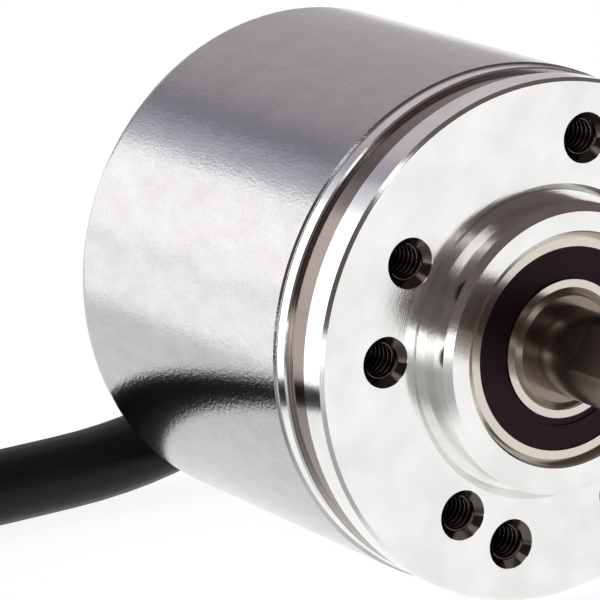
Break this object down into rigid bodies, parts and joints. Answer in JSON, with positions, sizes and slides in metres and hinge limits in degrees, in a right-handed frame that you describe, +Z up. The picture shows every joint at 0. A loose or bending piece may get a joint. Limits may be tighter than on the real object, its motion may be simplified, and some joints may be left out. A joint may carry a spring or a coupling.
{
  "type": "rotary encoder",
  "caption": "Incremental rotary encoder: round flange with centring collar, sealed bearing and flatted solid shaft, plain metal can and fixed cable.",
  "frame": {"origin": "where the shaft's axis meets the flat mounting face of the flange", "axes": "-Y along the shaft out of the flange, +Y towards the can's closed end, +Z up as the encoder lies, +X to the right seen from the shaft"},
  "size_m": [0.1646, 0.1099, 0.0362],
  "materials": {
    "turned_aluminium": "bright turned aluminium",
    "can_aluminium": "tumbled aluminium, satin",
    "stainless_steel": "ground stainless steel",
    "bearing_steel": "ground bearing steel",
    "cage_steel": "pressed steel",
    "spring_steel": "blackened spring steel",
    "screw_steel": "zinc plated",
    "seal_rubber": "moulded nitrile, semi-matt",
    "disc_glass": "clear glass with a fine track",
    "board_laminate": "solder-masked laminate",
    "led_resin": "clear resin on a ceramic base",
    "chip_plastic": "moulded black epoxy",
    "capacitor_ceramic": "ceramic with tinned ends",
    "connector_plastic": "natural nylon",
    "lead_insulation": "coloured insulation",
    "brass": "machined brass",
    "outlet_rubber": "moulded black elastomer",
    "cable_jacket": "black jacket, semi-matt",
    "tie_plastic": "black nylon",
    "ferrule_tin": "tinned copper"
  },
  "bodies": {
    "encoder_body": {"board_pillars": "brass", "board_screws": "screw_steel", "bore_circlip": "spring_steel", "cable_coil": "cable_jacket", "cable_lead": "cable_jacket", "cable_outlet": "outlet_rubber", "cable_tail": "cable_jacket", "capacitors": "capacitor_ceramic", "coil_ties": "tie_plastic", "core_ends": "lead_insulation", "core_ferrules": "ferrule_tin", "crimp_sleeve": "brass", "flange": "turned_aluminium", "front_bearing_back_seal": "seal_rubber", "front_bearing_front_seal": "seal_rubber", "front_bearing_outer_ring": "bearing_steel", "housing_can": "can_aluminium", "housing_seal_ring": "seal_rubber", "inner_leads": "lead_insulation", "lead_connector": "connector_plastic", "led_board": "board_laminate", "led_board_screws": "screw_steel", "led_emitter": "led_resin", "led_leads": "lead_insulation", "line_driver": "chip_plastic", "main_board": "board_laminate", "optical_receiver": "chip_plastic", "rear_bearing_back_seal": "seal_rubber", "rear_bearing_front_seal": "seal_rubber", "rear_bearing_outer_ring": "bearing_steel", "signal_chip": "chip_plastic", "wave_washer": "spring_steel"},
    "rotor": {"shaft": "stainless_steel", "front_bearing_inner_ring": "bearing_steel", "rear_bearing_inner_ring": "bearing_steel", "bearing_spacer": "stainless_steel", "disc_hub": "turned_aluminium", "hub_set_screw": "screw_steel", "code_disc": "disc_glass", "disc_clamp": "turned_aluminium", "disc_screw": "screw_steel"},
    "front_ball_set": {"front_bearing_balls": "bearing_steel", "front_bearing_cage": "cage_steel"},
    "rear_ball_set": {"rear_bearing_balls": "bearing_steel", "rear_bearing_cage": "cage_steel"}
  },
  "joints": [
    {"name": "shaft_spin", "type": "hinge", "parent": "encoder_body", "child": "rotor", "pos_m": [0, 0.00566, 0], "axis": [0, -1, 0], "continuous": true},
    {"name": "front_cage_spin", "type": "hinge", "parent": "encoder_body", "child": "front_ball_set", "pos_m": [0, 0.00032, 0], "axis": [0, -1, 0], "continuous": true},
    {"name": "rear_cage_spin", "type": "hinge", "parent": "encoder_body", "child": "rear_ball_set", "pos_m": [0, 0.011, 0], "axis": [0, -1, 0], "continuous": true}
  ],
  "couplings": [
    {"joint": "front_cage_spin", "follows": "shaft_spin", "ratio": 0.40083},
    {"joint": "rear_cage_spin", "follows": "shaft_spin", "ratio": 0.40083}
  ]
}
